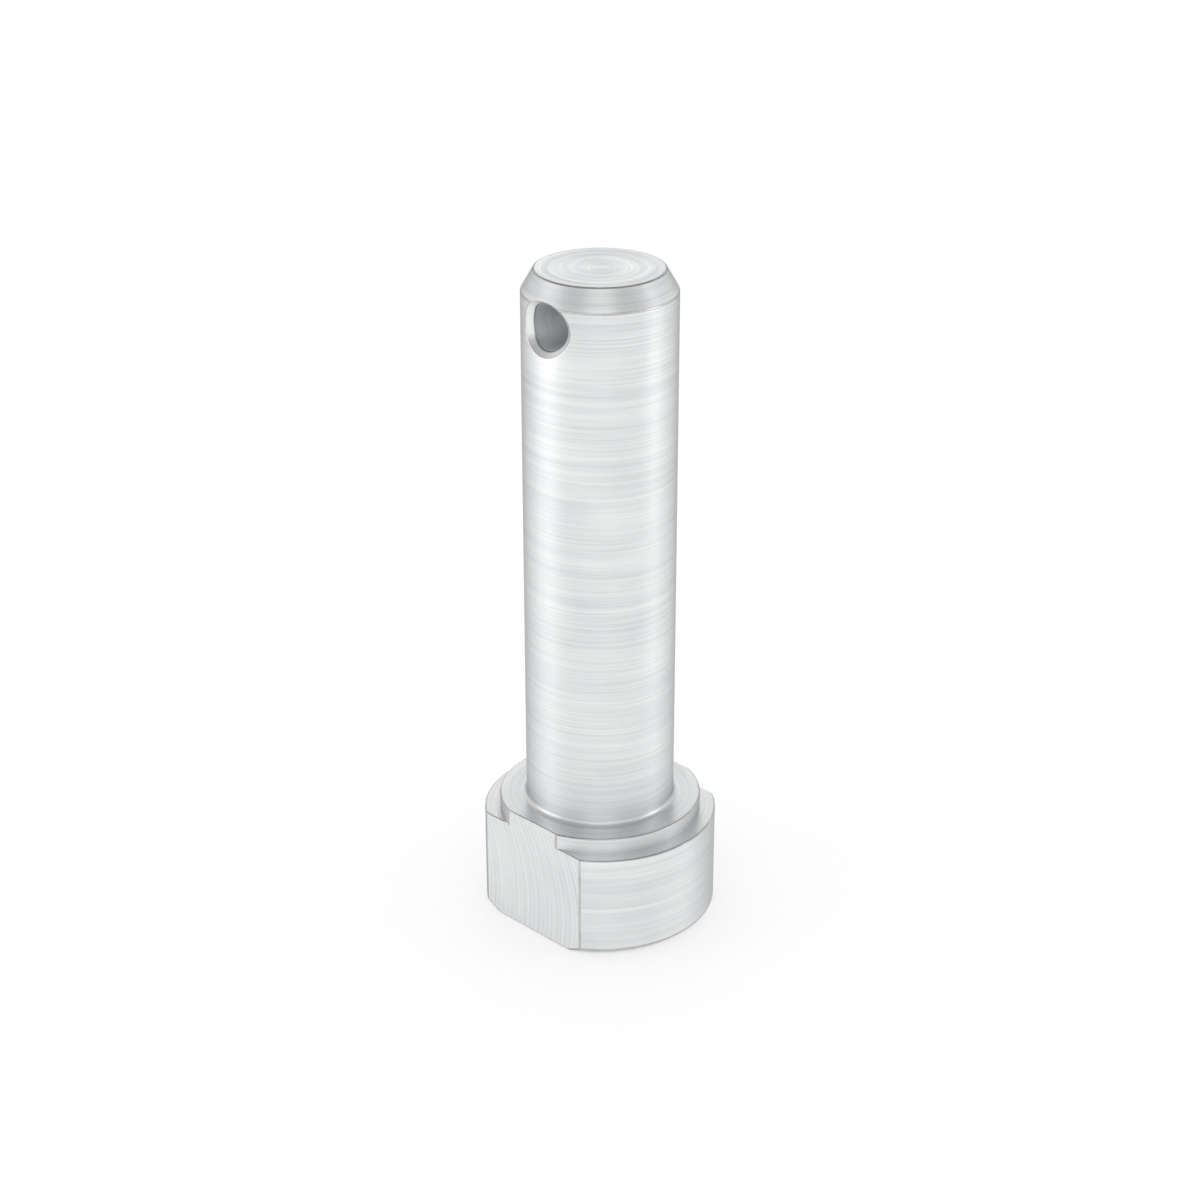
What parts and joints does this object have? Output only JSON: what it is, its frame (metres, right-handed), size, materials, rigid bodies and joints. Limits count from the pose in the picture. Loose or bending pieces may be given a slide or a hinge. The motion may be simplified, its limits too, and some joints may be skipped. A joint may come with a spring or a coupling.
{
  "type": "clevis pin",
  "caption": "Headed clevis pin with a collar, parallel wrench flats and a chamfered cross hole that takes a split pin.",
  "frame": {"origin": "middle of the head's bottom face, which the pin stands on", "axes": "+Z along the shank from the head to the tip; +Y along the cross hole, square to the wrench flats"},
  "size_m": [0.022, 0.018, 0.0637],
  "materials": {
    "bright_steel": "pale satin, turned and milled"
  },
  "bodies": {
    "root": {"pin": "bright_steel"}
  },
  "joints": []
}
